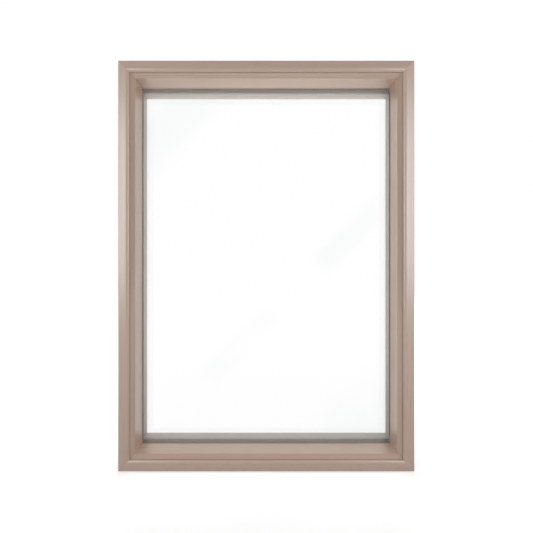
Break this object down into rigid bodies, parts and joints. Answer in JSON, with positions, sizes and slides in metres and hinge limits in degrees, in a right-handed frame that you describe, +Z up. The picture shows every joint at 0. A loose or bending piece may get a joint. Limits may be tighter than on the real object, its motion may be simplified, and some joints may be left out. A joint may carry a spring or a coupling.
{
  "type": "sauna window",
  "caption": "Fixed double-glazed sauna window: slim mitred frame with a chamfered front moulding and deep reveal, box frame, gasketed glass unit with spacer bars, and grey rear glazing beads.",
  "frame": {"origin": "middle of the underside: half way across the width and half way through the depth, on the plane the window stands on", "axes": "+X to the right seen from the front, +Y from the moulded front towards the back, +Z up"},
  "size_m": [0.505, 0.102, 0.7],
  "materials": {
    "frame_wood": "satin clear lacquer",
    "gasket": "matte grey-brown",
    "pane_glass": "clear",
    "spacer": "satin bronze-grey anodised",
    "tape": "matte pale grey",
    "bead": "grey satin lacquer"
  },
  "bodies": {
    "root": {"front_moulding_top": "frame_wood", "front_moulding_bottom": "frame_wood", "front_moulding_left": "frame_wood", "front_moulding_right": "frame_wood", "frame_head": "frame_wood", "frame_sill": "frame_wood", "frame_left_jamb": "frame_wood", "frame_right_jamb": "frame_wood", "front_gasket_top": "gasket", "front_gasket_bottom": "gasket", "front_gasket_left": "gasket", "front_gasket_right": "gasket", "front_pane": "pane_glass", "rear_pane": "pane_glass", "spacer_top": "spacer", "spacer_bottom": "spacer", "spacer_left": "spacer", "spacer_right": "spacer", "glazing_tape_top": "tape", "glazing_tape_bottom": "tape", "glazing_tape_left": "tape", "glazing_tape_right": "tape", "rear_bead_top": "bead", "rear_bead_bottom": "bead", "rear_bead_left": "bead", "rear_bead_right": "bead"}
  },
  "joints": []
}
